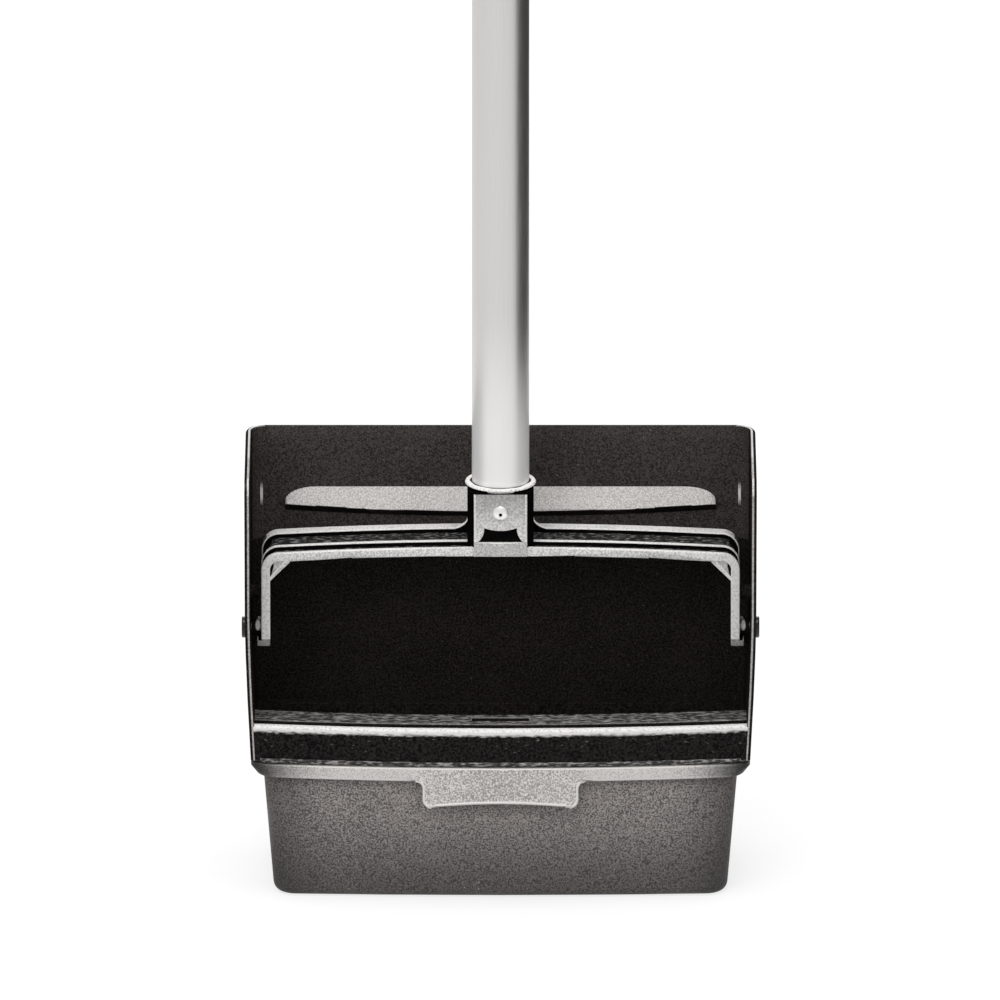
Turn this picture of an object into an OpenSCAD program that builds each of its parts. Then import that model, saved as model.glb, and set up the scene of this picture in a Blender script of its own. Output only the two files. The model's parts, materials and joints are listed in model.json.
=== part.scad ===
// Lobby dustpan: an open scoop standing on a lift-off bin, with a long handle on a swinging yoke.
// Millimetres. +Z is up, +X is to the right and the open side of the pan faces -Y.
// The origin is on the floor, under the middle of the part.

/* [Bin] */
// Height of the bin, from the floor to the face that carries the scoop
bin_h = 80.5; // [65:0.5:110]
// Width of the tub at the floor
bin_foot_w = 253; // [235:1:258]
// Width of the tub at its mouth
bin_mouth_w = 266; // [256:0.5:266]
// How far the front wall leans in from the mouth to the floor
bin_rake_front = 7.5; // [3:0.5:12]
// How far the back wall leans in from the mouth to the floor
bin_rake_back = 5; // [2:0.5:10]
// How far the front wall bows out at the floor
bin_foot_bow = 3.5; // [1:0.5:8]
// Thickness of the tub's walls and floor
bin_wall = 2.6; // [1.5:0.1:3.5]
// Radius of the tub's bottom edge
bin_edge_r = 5; // [2:0.5:8]
// Radius of the tub's upright corners
bin_corner_r = 12; // [9:0.5:20]

/* [Bin rim] */
// Width of the rim, and of the foot of the scoop that stands on it
seat_w = 278.5; // [274:0.5:284]
// How far the rim stands ahead of the scoop's sill
rim_proud = 2.5; // [2:0.1:5]
// Overhang of the rim past the tub at the front
rim_over_front = 7; // [6:0.5:10]
// Overhang of the rim past the tub at the back
rim_over_back = 4; // [3:0.5:8]
// Height of the turned-down rim
rim_h = 7.6; // [6:0.1:12]
// Height of the upright part of the rim, above its slope
rim_upright_h = 3.2; // [2:0.1:5]
// How far the foot of the rim slopes in at the sides
rim_slope_in = 3.6; // [2:0.1:4.5]
// Thickness of the rim
rim_t = 2; // [1.5:0.1:2.4]

/* [Pull tongue] */
// Width of the tongue where it leaves the rim
tongue_w = 87; // [60:1:120]
// Depth of the tongue below the rim's top face, at its corners
tongue_h = 22.5; // [16:0.5:32]
// Rise of the arch in the tongue's lower edge
tongue_arch = 2.6; // [1:0.1:6]
// Radius of the tongue's lower corners
tongue_corner_r = 5; // [2.6:0.1:7]
// Radius of the fillets between the tongue and the rim
tongue_fillet_r = 4; // [1.5:0.1:5]
// Thickness of the tongue
tongue_t = 2.2; // [1.6:0.1:3]
// Angle at which the tongue flares away from the bin
tongue_flare = 7; // [3:0.5:12]
// Width of the bead round the tongue's edge
bead_w = 1.6; // [1:0.1:2.5]
// Height of that bead
bead_proud = 0.6; // [0.3:0.1:1]

/* [Scoop] */
// Width of the scoop at its lip
scoop_w = 285; // [281:0.5:300]
// Height of the scoop, from the bin to the lip
scoop_h = 164; // [156:1:200]
// Depth of the scoop, from its back to the rims of its side walls
scoop_d = 106; // [102:1:130]
// Thickness of the side walls
scoop_wall = 3; // [2.4:0.1:3.6]
// Thickness of the back panel, which is the floor of the pan in use
panel_t = 3; // [2.4:0.1:4]
// Outside radius of the two corners beside the back panel
scoop_corner_r = 11; // [4:0.5:12]
// Radius of the upper front corners of the side walls
shoulder_r = 9; // [4:0.5:16]
// Thickness of the lip's sweeping edge
lip_edge_t = 1.2; // [0.8:0.1:2]
// Height of the bevel that thins the lip
lip_bevel_h = 8; // [4:0.5:14]

/* [Ramp behind the lip] */
// Distance from the lip down to the start of the ramp
ramp_drop = 35.5; // [28:0.5:44]
// Length of the ramp, measured down the panel
ramp_run = 12.5; // [8:0.5:18]
// Height of the ramp's crest in the middle
ramp_rise = 8; // [5:0.5:12]
// How much lower the crest is at its ends
ramp_fall = 2.5; // [0.5:0.5:4]
// Width of the ramp along its crest
ramp_w = 241; // [200:1:250]
// How much shorter the ramp is at its start, at each round end
ramp_end_in = 17; // [6:1:24]
// Length of the drop behind the crest
ramp_back = 5; // [3:0.5:10]

/* [Sill] */
// Height of the sill above the bin
sill_h = 22; // [18:0.5:30]
// How far the sill bows out ahead of the side walls
sill_bow = 9; // [5:0.5:14]
// Thickness of the sill
sill_t = 3; // [2.4:0.1:3.6]
// Radius of the sill's top edge
sill_edge_r = 2; // [1:0.1:2.4]
// Width of the bead along the sill's top
sill_bead_w = 5; // [4.8:0.1:8]
// Width of the groove behind that bead
groove_w = 13; // [4:0.5:15]
// Depth of the groove below the ledge
groove_depth = 3; // [1:0.5:5]
// How far the ledge lies below the sill's top
ledge_drop = 2.5; // [1:0.5:5]
// Distance from the sill's face to the back edge of the ledge
ledge_d = 35; // [28:0.5:44]
// Thickness of the ledge
ledge_t = 2.6; // [2:0.1:4]
// Width of the slot in the middle of the ledge
slot_w = 32; // [20:1:44]
// Size of that slot from front to back
slot_d = 6; // [4:0.5:8]
// Distance from the ledge's back edge to the slot
slot_in = 5; // [3:0.5:10]

/* [Foot of the scoop] */
// Thickness of the foot frame that stands on the bin's rim
foot_t = 3; // [2:0.1:4.5]
// How far the foot frame stands ahead of the sill
foot_proud = 1.4; // [0.5:0.1:1.8]
// Height of the shadow gap round the foot frame, above the rim
shadow_h = 0.8; // [0.4:0.1:1.5]
// Depth of that shadow gap
shadow_in = 1.2; // [0.5:0.1:2]
// Depth of the collar that drops into the bin
collar_h = 6; // [3:0.5:12]
// Thickness of that collar
collar_t = 2.2; // [1.6:0.1:3]
// Gap between the collar and the bin
lift_gap = 0.5; // [0.3:0.1:1]

/* [Pivot] */
// Height of the pivot above the bin
pivot_h = 67; // [60:0.5:80]
// Distance from the front of the yoke back to the pivot
pivot_in = 10; // [8:0.5:12]
// Diameter of the pivot pins
pin_d = 6; // [4:0.5:7]
// Diameter of the pins' heads
pin_head_d = 10; // [8:0.5:11]
// Thickness of the pins' heads
pin_head_t = 1.6; // [1:0.1:2]
// How far the pins' heads lie below the inside of the arms
pin_head_sink = 0.2; // [0.1:0.1:0.5]
// How far the pins reach past the side walls
pin_reach = 1.3; // [0.8:0.1:1.8]
// Radial clearance of the arms on the pins
pin_run_gap = 0.05; // [0.02:0.01:0.09]
// Diameter of the push-on caps outside the side walls
cap_d = 12; // [9:0.5:16]
// Height of those caps
cap_h = 2.2; // [2.1:0.1:3.5]
// Diameter of the spacers between the arms and the side walls
spacer_d = 9; // [8:0.5:12]

/* [Yoke] */
// Gap between the yoke's arms and the side walls
yoke_gap = 5.6; // [4:0.1:8]
// Distance from the rims of the side walls back to the front of the yoke
yoke_set = 28.5; // [24:0.5:34]
// Depth of the yoke, from front to back
yoke_d = 44.6; // [42:0.1:48]
// Thickness of the yoke over its ribs
yoke_t = 5; // [4.6:0.1:8]
// Thickness of the web under the ribs
web_t = 2.2; // [1.6:0.1:2.4]
// Thickness of the front and middle ribs
rib_t = 2.8; // [2:0.1:3.4]
// Thickness of the rear rib
rear_rib_t = 8.4; // [3:0.1:9]
// Distance from the front of the yoke to the middle rib
rib_mid = 14.5; // [13.5:0.5:20]
// Height of the crossbar's underside above the pivot, in the middle
arm_h = 44.8; // [40:0.1:56]
// Rise of the crossbar's arch
arch_rise = 3.6; // [1:0.1:8]
// Radius of the inside corners of the yoke
yoke_corner_r = 5; // [3:0.5:10]
// Distance from the pivot down to the ends of the arms
arm_drop = 8.2; // [8:0.1:14]
// Height of the foot at the end of each arm
arm_foot_h = 3.4; // [2:0.1:5]
// How far that foot stands out towards the side wall
arm_foot_out = 2.4; // [1:0.1:3]
// Diameter of the bosses round the pivot bores
boss_d = 15; // [14:0.5:18]
// Length of the braces in the yoke's corners, along each leg
brace_leg = 11; // [7:0.5:18]
// Thickness of those braces along their edge
brace_t = 1.2; // [1:0.1:3]
// How far the web of a brace lies behind that edge
brace_in = 0.8; // [0.4:0.1:1.2]
// Width of the slit between a brace's web and the arm
brace_slit = 1.8; // [1:0.1:2.5]

/* [Swing] */
// Furthest swing of the handle, from upright towards the open side
swing_max = 98; // [90:1:105]
// Diameter of the pegs in the side walls that stop the feet of the arms
peg_d = 8; // [5:0.5:10]
// Distance from the pivot to where the pegs meet the feet
peg_out = 22; // [20:0.5:24]
// Gap between a peg and the arm or foot beside it
peg_gap = 0.4; // [0.3:0.1:1]

/* [Socket] */
// Distance from the front of the yoke back to the handle's middle
handle_in = 19.5; // [19.5:0.1:21]
// Outside diameter of the socket
socket_d = 37; // [35.5:0.5:40]
// Height of the socket above the crossbar's underside
socket_h = 38.6; // [30:0.1:60]
// Width of the flat on the socket's front
flat_w = 29; // [20:0.5:32]
// How far the flat's shoulders run back
flat_back = 7; // [4:0.5:10]
// Diameter of the bead round the socket's mouth
mouth_bead_d = 2.6; // [1.6:0.1:3.2]
// Gap between the socket and the tube
socket_gap = 0.1; // [0.05:0.01:0.3]
// Width of the block in the middle of the front rib
block_w = 29.6; // [29:0.1:36]
// Height of that block
block_h = 8.7; // [6:0.1:12]
// How far the block stands ahead of the rib
block_proud = 0.9; // [0.4:0.1:1.5]
// Height of the recess above the block
notch_h = 8; // [5:0.1:12]
// Width of the recess along its top
notch_top_w = 18; // [12:0.5:20]
// Width of the recess along its bottom
notch_w = 28; // [24:0.5:28.5]
// Sag of the recess's upper edge
notch_sag = 1.6; // [0.4:0.1:3]
// Depth of the recess along its top
notch_d = 2.4; // [1:0.1:2.6]
// Depth of the recess along its bottom
notch_foot_d = 0.5; // [0.2:0.1:1]
// Height of the hollow-curved fins beside the socket
fin_h = 7; // [4:0.5:14]
// Length of those fins along the rear rib
fin_l = 11; // [6:0.5:24]

/* [Rivet] */
// Height of the rivet above the crossbar's underside
rivet_h = 24.6; // [20:0.1:30]
// Diameter of the rivet's head
rivet_head_d = 9; // [7:0.1:11]
// Height of the rivet's head
rivet_head_h = 1.8; // [1:0.1:2.5]
// Diameter of the rivet's shank
rivet_d = 4.8; // [4:0.1:5]
// Diameter of the bore through the rivet
rivet_bore_d = 2; // [1.6:0.1:2.4]
// Diameter of the swelling inside the tube
rivet_bulge_d = 6.8; // [6:0.1:8]
// Length of that swelling
rivet_bulge_l = 3.4; // [2:0.1:5]
// How far the broken stem lies below the head
stem_sink = 0.9; // [0.5:0.1:1.5]

/* [Handle] */
// Outside diameter of the tube
tube_d = 32; // [25:0.5:33]
// Wall of the tube
tube_wall = 1.4; // [1:0.1:2]
// Length of the tube
tube_l = 716; // [500:1:900]
// Length of the hand grip
grip_l = 130; // [90:1:180]
// Thickness of the hand grip
grip_t = 2.4; // [2:0.1:4]
// Number of rings in the grip
grip_rings = 7; // [3:1:12]
// Distance between those rings
ring_pitch = 14; // [8:0.5:14]
// Diameter of the groove at each ring
ring_d = 2.2; // [1.2:0.1:3]
// Radius of the grip's ends
grip_edge_r = 1.6; // [0.8:0.1:1.8]
// Length of the plug of the hanging cap, inside the tube
plug_l = 24; // [14:1:40]
// Thickness of the cap's flange
flange_t = 3; // [2:0.1:5]
// Width of the hanging eye
eye_w = 24; // [18:0.5:30]
// Height of the hanging eye above the flange
eye_h = 25; // [22:0.5:40]
// Thickness of the hanging eye
eye_t = 9; // [5:0.5:14]
// Diameter of the hanging hole
eye_hole_d = 10; // [6:0.5:12]

/* [Hidden] */

$fn = 72;
// Steps in a bowed edge, in a round corner, in the bin's bottom edge and in the scoop's flare
bow_steps = 24;
corner_steps = 8;
edge_steps = 5;
flare_steps = 8;
// Facets of a full turn about the sill's far centre
far_fn = 1080;
// Facets of the grip's grooves
groove_fn = 24;
// Share of the scoop's height over which it widens
flare_share = 0.6;
// How far every cut runs past the face that it opens
overrun = 2;
// Gap between pieces that are pushed together
slip_gap = 0.05;
// Gap beside a pivot between faces that turn past each other
turn_gap = 0.3;
// How far welded ribs sink into what carries them
weld = 0.6;

seat_half = seat_w / 2;
lip_half = scoop_w / 2;
// The tongue leaves the rim half way down its upright part
tongue_l = (tongue_h - rim_upright_h / 2) / cos(tongue_flare);
tongue_neck = rim_h - rim_upright_h / 2;
tongue_reach = (tongue_l - tongue_arch) * sin(tongue_flare) + bead_proud * cos(tongue_flare);
// The rim leans out at the front by half as much as the tongue
rim_lean = (rim_h - rim_upright_h) * tan(tongue_flare) / 2;
// The whole depth is centred on the origin
back_y = (scoop_d + sill_bow + rim_proud + tongue_reach) / 2;
rim_y = back_y - scoop_d;
sill_y = rim_y - sill_bow;
front_y = sill_y - rim_proud;
lip_z = bin_h + scoop_h;
wall_z = bin_h + shadow_h;
panel_y = back_y - panel_t;

pivot_z = bin_h + pivot_h;
yoke_front = rim_y + yoke_set;
yoke_back = yoke_front + yoke_d;
pivot_y = yoke_front + pivot_in;
handle_y = yoke_front + handle_in;
under_z = pivot_z + arm_h;
arm_end_z = pivot_z - arm_drop;
arm_out = scoop_half(pivot_z) - scoop_wall - yoke_gap;
arm_in = arm_out - yoke_t;
socket_top = under_z + socket_h;
tube_z = under_z + web_t;
tube_top = tube_z + tube_l;
tube_r = tube_d / 2;
tube_bore_r = tube_r - tube_wall;
rivet_z = under_z + rivet_h;
// Depth from the socket's front to the inside of the tube, past the curve of its wall
rivet_grip = handle_y - yoke_front - sqrt(pow(tube_bore_r, 2) - pow(rivet_bulge_d / 2, 2)) + slip_gap;
// The caps seat on the widest stretch of wall behind them, and the spacers on the narrowest
cap_seat = max(scoop_half(pivot_z + cap_d / 2), scoop_half(pivot_z - cap_d / 2)) + slip_gap;
wall_in = min(scoop_half(pivot_z + spacer_d / 2), scoop_half(pivot_z - spacer_d / 2)) - scoop_wall;
spacer_out = wall_in - slip_gap;

// Points of an arc about c from angle a0 to angle a1, without the first and last skip of them
function arc(c, r, a0, a1, n, skip = 0) =
    [for (i = [skip:n - skip]) c + r * [cos(a0 + (a1 - a0) * i / n), sin(a0 + (a1 - a0) * i / n)]];

// Radius of an arc from half its chord and its rise
function bow_r(half, rise) = (half * half + rise * rise) / (2 * rise);

// A bowed edge with round ends, from left to right, with its crown at the origin, moved out by grow
function bow_edge(half, rise, corner_r, grow) =
    let (r = bow_r(half, rise),
         turn = asin((half - corner_r) / (r - corner_r)),
         c = [half - corner_r, sqrt(pow(r - corner_r, 2) - pow(half - corner_r, 2)) - r])
    concat(arc([-c.x, c.y], corner_r + grow, 180, 90 + turn, corner_steps),
           arc([0, -r], r + grow, 90 + turn, 90 - turn, bow_steps, 1),
           arc(c, corner_r + grow, 90 - turn, 0, corner_steps));

// A plan with a bowed front, straight sides and a straight back
function plan(half, front, rise, back, corner_r, grow) =
    concat([for (p = bow_edge(half, rise, corner_r, grow)) [p.x, front - p.y]],
           arc([half - corner_r, back - corner_r], corner_r + grow, 0, 90, corner_steps),
           arc([corner_r - half, back - corner_r], corner_r + grow, 90, 180, corner_steps));

// A ring of points at height z
function ring(points, z) = [for (p = points) [p.x, p.y, z]];

// The plan of the tub at height z
function tub_plan(z, grow) =
    let (up = z / bin_h,
         down = 1 - up)
    plan((bin_foot_w * down + bin_mouth_w * up) / 2,
         front_y + rim_over_front + bin_rake_front * down,
         bin_foot_bow * down + sill_bow * up,
         back_y - rim_over_back - bin_rake_back * down,
         bin_corner_r, grow);

// The plan of the rim, at a share of the way down its slope
function rim_plan(down, grow) =
    plan(seat_half - rim_slope_in * down, front_y - rim_lean * down, sill_bow, back_y, bin_corner_r, grow);

// Half the outside width of the scoop at height z
function scoop_half(z) =
    let (up = (z - bin_h) / (scoop_h * flare_share))
    seat_half + (lip_half - seat_half) * sin(90 * max(0, min(1, up)));

// The plan of the scoop's walls at height z, from a straight front to the back panel
function scoop_plan(z, front, wall, panel) =
    let (half = scoop_half(z) - wall,
         back = back_y - panel,
         r = scoop_corner_r - wall)
    concat([[-half, front], [half, front]],
           arc([half - r, back - r], r, 0, 90, corner_steps),
           arc([r - half, back - r], r, 90, 180, corner_steps));

// A solid through rings of points, from the lowest to the highest
module loft(rings) {
    n = len(rings[0]);
    last = len(rings) - 1;
    polyhedron(
        points = [for (one = rings) each one],
        faces = concat(
            [[for (i = [0:n - 1]) i]],
            [[for (i = [n - 1:-1:0]) last * n + i]],
            [for (k = [0:last - 1], i = [0:n - 1])
                [k * n + i, (k + 1) * n + i, (k + 1) * n + (i + 1) % n]],
            [for (k = [0:last - 1], i = [0:n - 1])
                [k * n + i, (k + 1) * n + (i + 1) % n, k * n + (i + 1) % n]]));
}

// An outline in X and Z made into a plate from y to y + depth
module upright_plate(y, depth) {
    translate([0, y + depth, 0])
        rotate([90, 0, 0])
            linear_extrude(depth)
                children();
}

// An outline in Y and Z made into a bar along X
module cross_bar(half) {
    translate([-half, 0, 0])
        rotate([90, 0, 90])
            linear_extrude(2 * half)
                children();
}

// A round bar along X, from x0 to x1
module axle(r, x0, x1) {
    translate([x0, pivot_y, pivot_z])
        rotate([0, 90, 0])
            cylinder(r = r, h = x1 - x0);
}

// Something on the right, and its mirror image on the left
module both_sides() {
    children();
    mirror([1, 0, 0])
        children();
}

// The outside of the tub, moved out by grow, with a round bottom edge, from z0 up to z1
module tub_form(grow, z0, z1) {
    loft(concat(
        [for (i = [0:edge_steps])
            let (a = 90 * i / edge_steps,
                 z = z0 + bin_edge_r * (1 - cos(a)))
            ring(tub_plan(z, grow - bin_edge_r * (1 - sin(a))), z)],
        [ring(tub_plan(z1, grow), z1)]));
}

// The turned-down rim, moved out by grow, up to z1, with its slope run on by extra
module rim_form(grow, extra, z1) {
    slope_h = rim_h - rim_upright_h;
    loft([ring(rim_plan(1 + extra / slope_h, grow), bin_h - rim_h - extra),
          ring(rim_plan(0, grow), bin_h - rim_upright_h),
          ring(rim_plan(0, grow), z1)]);
}

// The tongue's outline, drawn in by inset: fillets under the rim, round corners and an arched lower edge
module tongue_outline(inset) {
    half = tongue_w / 2 - inset;
    wing = tongue_w / 2 + tongue_fillet_r;
    arch_r = bow_r(half, tongue_arch);
    low = inset - tongue_l;
    r = tongue_corner_r - inset;
    turn = asin((half - r) / arch_r);
    right = concat(
        arc([0, low + tongue_arch - arch_r], arch_r, 90, 90 - turn, bow_steps / 2),
        arc([half - r, low + r], r, 270, 360, corner_steps),
        arc([wing, -tongue_neck - tongue_fillet_r], tongue_fillet_r + inset, 180, 90, corner_steps),
        [[wing, weld]]);
    polygon(concat(right, [for (i = [len(right) - 1:-1:1]) [-right[i].x, right[i].y]]));
}

// A curved sheet with the rim's own bow, between its back and a face that is moved out by grow
module tongue_sheet(thick, grow) {
    r = bow_r(seat_half, sill_bow);
    low = tongue_l + overrun;
    translate([0, r, -low])
        difference() {
            cylinder(r = r + grow, h = low + overrun, $fn = far_fn);
            translate([0, 0, -overrun])
                cylinder(r = r - thick, h = low + 3 * overrun, $fn = far_fn);
        }
}

module tongue() {
    translate([0, front_y, bin_h - rim_upright_h / 2])
        rotate([-tongue_flare, 0, 0]) {
            intersection() {
                tongue_sheet(tongue_t, 0);
                upright_plate(-overrun, tongue_w)
                    tongue_outline(0);
            }
            intersection() {
                tongue_sheet(tongue_t / 2, bead_proud);
                upright_plate(-overrun, tongue_w)
                    difference() {
                        tongue_outline(0);
                        tongue_outline(bead_w);
                        translate([-tongue_w, -tongue_neck])
                            square([2 * tongue_w, tongue_h]);
                    }
            }
        }
}

module bin() {
    color("dimgray") {
        difference() {
            union() {
                tub_form(0, 0, bin_h);
                difference() {
                    rim_form(0, 0, bin_h);
                    rim_form(-rim_t, overrun, bin_h - rim_t);
                }
            }
            tub_form(-bin_wall, bin_wall, bin_h + overrun);
        }
        tongue();
    }
}

// The walls of the scoop as one solid block, thinner by wall and panel, from z0 to z1
module scoop_form(front, wall, panel, z0, z1) {
    flare_z = bin_h + scoop_h * flare_share;
    loft(concat(
        [ring(scoop_plan(z0, front, wall, panel), z0)],
        [for (i = [1:flare_steps - 1])
            let (z = bin_h + (flare_z - bin_h) * i / flare_steps)
            ring(scoop_plan(z, front, wall, panel), z)],
        [ring(scoop_plan(flare_z, front, wall, panel), flare_z),
         ring(scoop_plan(z1, front, wall, panel), z1)]));
}

// Back panel and side walls, with round front shoulders and a thinned lip
module scoop_shell() {
    difference() {
        scoop_form(rim_y, 0, 0, wall_z, lip_z);
        scoop_form(rim_y - overrun, scoop_wall, panel_t, bin_h - overrun, lip_z + overrun);
        cross_bar(scoop_w)
            difference() {
                translate([rim_y - overrun, lip_z - shoulder_r])
                    square(shoulder_r + overrun);
                translate([rim_y + shoulder_r, lip_z - shoulder_r])
                    circle(r = shoulder_r);
            }
        cross_bar(lip_half - scoop_corner_r)
            polygon([[panel_y, lip_z - lip_bevel_h], [back_y - lip_edge_t, lip_z],
                     [back_y - lip_edge_t, lip_z + overrun], [panel_y - overrun, lip_z + overrun],
                     [panel_y - overrun, lip_z - lip_bevel_h]]);
    }
}

// The ridge behind the lip that keeps sweepings in
module ramp() {
    start_z = lip_z - ramp_drop;
    crest_half = ramp_w / 2;
    start_half = crest_half - ramp_end_in;
    flank = [for (i = [0:corner_steps]) start_half + ramp_end_in * sin(90 * i / corner_steps)];
    middle = [for (i = [1 - bow_steps / 2:bow_steps / 2 - 1]) start_half * 2 * i / bow_steps];
    stations = concat([for (i = [corner_steps:-1:0]) -flank[i]], middle, flank);
    loft([for (x = stations)
        let (out = abs(x) / crest_half,
             rise = ramp_rise - ramp_fall * out * out,
             crest_z = start_z - ramp_run * rise / ramp_rise,
             late = min(1, max(0, abs(x) - start_half) / ramp_end_in),
             top_z = start_z - (start_z - crest_z - weld) * (1 - sqrt(1 - late * late)))
        [[x, panel_y + weld, top_z], [x, panel_y, top_z], [x, panel_y - rise, crest_z],
         [x, panel_y, crest_z - ramp_back], [x, panel_y + weld, crest_z - ramp_back]]]);
}

// Section through the sill and its ledge: distance back from the sill's face, and height
module sill_section() {
    top = bin_h + sill_h;
    ledge_z = top - ledge_drop;
    groove_end = sill_bead_w + groove_w;
    groove_z = ledge_z - groove_depth;
    polygon(concat(
        [[0, wall_z], [sill_t, wall_z], [sill_t, groove_z - ledge_t],
         [groove_end + ledge_t, groove_z - ledge_t], [groove_end + ledge_t, ledge_z - ledge_t],
         [ledge_d, ledge_z - ledge_t], [ledge_d, ledge_z],
         [groove_end, ledge_z], [groove_end, groove_z], [sill_bead_w, groove_z]],
        arc([sill_bead_w - sill_edge_r, top - sill_edge_r], sill_edge_r, 0, 90, corner_steps),
        arc([sill_edge_r, top - sill_edge_r], sill_edge_r, 90, 180, corner_steps)));
}

// The bowed sill and ledge, between the side walls
module sill() {
    r = bow_r(seat_half, sill_bow);
    sweep = 2 * asin((seat_half + ledge_d) / r);
    slot_z = bin_h + sill_h - ledge_drop - 2 * ledge_t;
    difference() {
        intersection() {
            translate([0, sill_y + r, 0])
                rotate([0, 0, -90 - sweep / 2])
                    rotate_extrude(angle = sweep, $fn = far_fn)
                        translate([r, 0])
                            mirror([1, 0])
                                sill_section();
            scoop_form(sill_y - overrun, scoop_wall - weld, panel_t, wall_z, lip_z);
        }
        translate([-slot_w / 2, sill_y + ledge_d - slot_in - slot_d, slot_z])
            cube([slot_w, slot_d, 3 * ledge_t]);
    }
}

// The plan of the scoop's foot frame
function foot_plan(grow) = plan(seat_half, sill_y - foot_proud, sill_bow, back_y, bin_corner_r, grow);

// The frame under the scoop: a foot that stands on the bin's rim and a collar that drops inside
module scoop_foot() {
    low_z = bin_h - collar_h;
    outer = tub_plan(low_z, -bin_wall - lift_gap);
    inner = tub_plan(low_z, -bin_wall - lift_gap - collar_t);
    difference() {
        union() {
            translate([0, 0, bin_h])
                linear_extrude(foot_t)
                    polygon(foot_plan(-shadow_in));
            translate([0, 0, bin_h + shadow_h])
                linear_extrude(foot_t - shadow_h)
                    polygon(foot_plan(0));
            translate([0, 0, low_z])
                linear_extrude(collar_h + foot_t)
                    polygon(outer);
        }
        translate([0, 0, low_z - overrun])
            linear_extrude(collar_h + foot_t + 2 * overrun)
                polygon(inner);
    }
}

// Pegs on the side walls, out of the arms' way: one under the foot of an arm when the handle stands up,
// and one that the same foot meets when the handle is swung down
module stop_pegs() {
    reach = peg_d / 2 + peg_gap;
    over = reach + arm_foot_h - arm_drop;
    both_sides() {
        peg(pivot_y + peg_out, pivot_z - arm_drop - reach);
        peg(pivot_y + peg_out * cos(swing_max) - over * sin(swing_max),
            pivot_z + peg_out * sin(swing_max) + over * cos(swing_max));
    }
}

module peg(y, z) {
    x = arm_out + peg_gap;
    translate([x, y, z])
        rotate([0, 90, 0])
            cylinder(d = peg_d, h = scoop_half(z) - scoop_wall / 2 - x);
}

module scoop() {
    color("#1c1c1e")
        difference() {
            union() {
                scoop_shell();
                ramp();
                sill();
                scoop_foot();
                stop_pegs();
            }
            axle(pin_d / 2 + slip_gap, -scoop_w, scoop_w);
        }
}

// The yoke's outline grown by t: an arched crossbar and two arms that end at height z
module yoke_outline(t, z) {
    polygon(concat(
        [[-arm_in - t, z]],
        [for (p = bow_edge(arm_in, arch_rise, yoke_corner_r, t)) [p.x, under_z + p.y]],
        [[arm_in + t, z]]));
}

// A bent strip of the yoke, from t0 to t1 out from its inside
module yoke_strip(t0, t1, y, depth) {
    upright_plate(y, depth)
        difference() {
            yoke_outline(t1, arm_end_z);
            yoke_outline(t0, arm_end_z - overrun);
        }
}

// The brace in a corner of the yoke: a slanting edge, and a web with a slit along the arm
module corner_brace() {
    high = under_z - arch_rise;
    top = high + weld + arch_rise / 2;
    slant = brace_t * sqrt(2);
    upright_plate(yoke_front, rib_t)
        polygon([[arm_in + weld, high - brace_leg], [arm_in + weld, high - brace_leg + slant],
                 [arm_in - brace_leg + slant, top], [arm_in - brace_leg, top],
                 [arm_in - brace_leg, high], [arm_in, high - brace_leg]]);
    upright_plate(yoke_front + brace_in, rib_t - brace_in)
        polygon([[arm_in, high - brace_leg + slant / 2], [arm_in - brace_slit, high - yoke_corner_r / 2],
                 [arm_in - brace_slit, top], [arm_in - brace_leg + slant / 2, top],
                 [arm_in - brace_leg + slant / 2, high]]);
}

module arm_foot() {
    translate([arm_in, yoke_front, arm_end_z])
        cube([yoke_t + arm_foot_out, yoke_d, arm_foot_h]);
}

module socket_block() {
    half = flat_w / 2;
    translate([0, 0, under_z])
        linear_extrude(socket_h - mouth_bead_d)
            polygon([[-half, yoke_front], [half, yoke_front],
                     [socket_d / 2, yoke_front + flat_back], [socket_d / 2, handle_y],
                     [-socket_d / 2, handle_y], [-socket_d / 2, yoke_front + flat_back]]);
    translate([0, handle_y, under_z])
        cylinder(d = socket_d, h = socket_h);
    translate([0, handle_y, socket_top - mouth_bead_d / 2])
        rotate_extrude()
            translate([socket_d / 2, 0])
                circle(d = mouth_bead_d);
    translate([-block_w / 2, yoke_front - block_proud, under_z])
        cube([block_w, rib_t + block_proud, block_h]);
}

// The recess in the socket's front, above the block: a sagging upper edge, hollow sides and a floor
// that slopes out to the block
module socket_notch() {
    z = under_z + block_h - weld;
    top = z + notch_h;
    side = (notch_w - notch_top_w) / 2;
    sag_r = bow_r(notch_top_w / 2, notch_sag);
    turn = asin(notch_top_w / 2 / sag_r);
    quarter = arc([0, 0], 1, 180, 270, corner_steps);
    hollow = [for (p = quarter) [notch_w / 2 + side * p.x, top + notch_h * p.y]];
    intersection() {
        upright_plate(yoke_front - overrun, notch_d + overrun)
            polygon(concat(
                [for (i = [corner_steps:-1:0]) [-hollow[i].x, hollow[i].y]],
                arc([0, top - notch_sag + sag_r], sag_r, 270 - turn, 270 + turn, corner_steps, 1),
                hollow));
        cross_bar(notch_w)
            polygon([[yoke_front - overrun, z], [yoke_front + notch_foot_d, z],
                     [yoke_front + notch_d, top], [yoke_front - overrun, top]]);
    }
}

module socket_fin() {
    z = under_z + yoke_t - weld;
    end = socket_d / 2 + fin_l;
    hollow = [for (p = arc([0, 0], 1, 270, 180, corner_steps)) [end + fin_l * p.x, z + fin_h * (1 + p.y)]];
    upright_plate(yoke_back - rear_rib_t, rib_t)
        polygon(concat([[0, z - arch_rise / 2], [end, z - arch_rise / 2]], hollow, [[0, z + fin_h]]));
}

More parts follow.
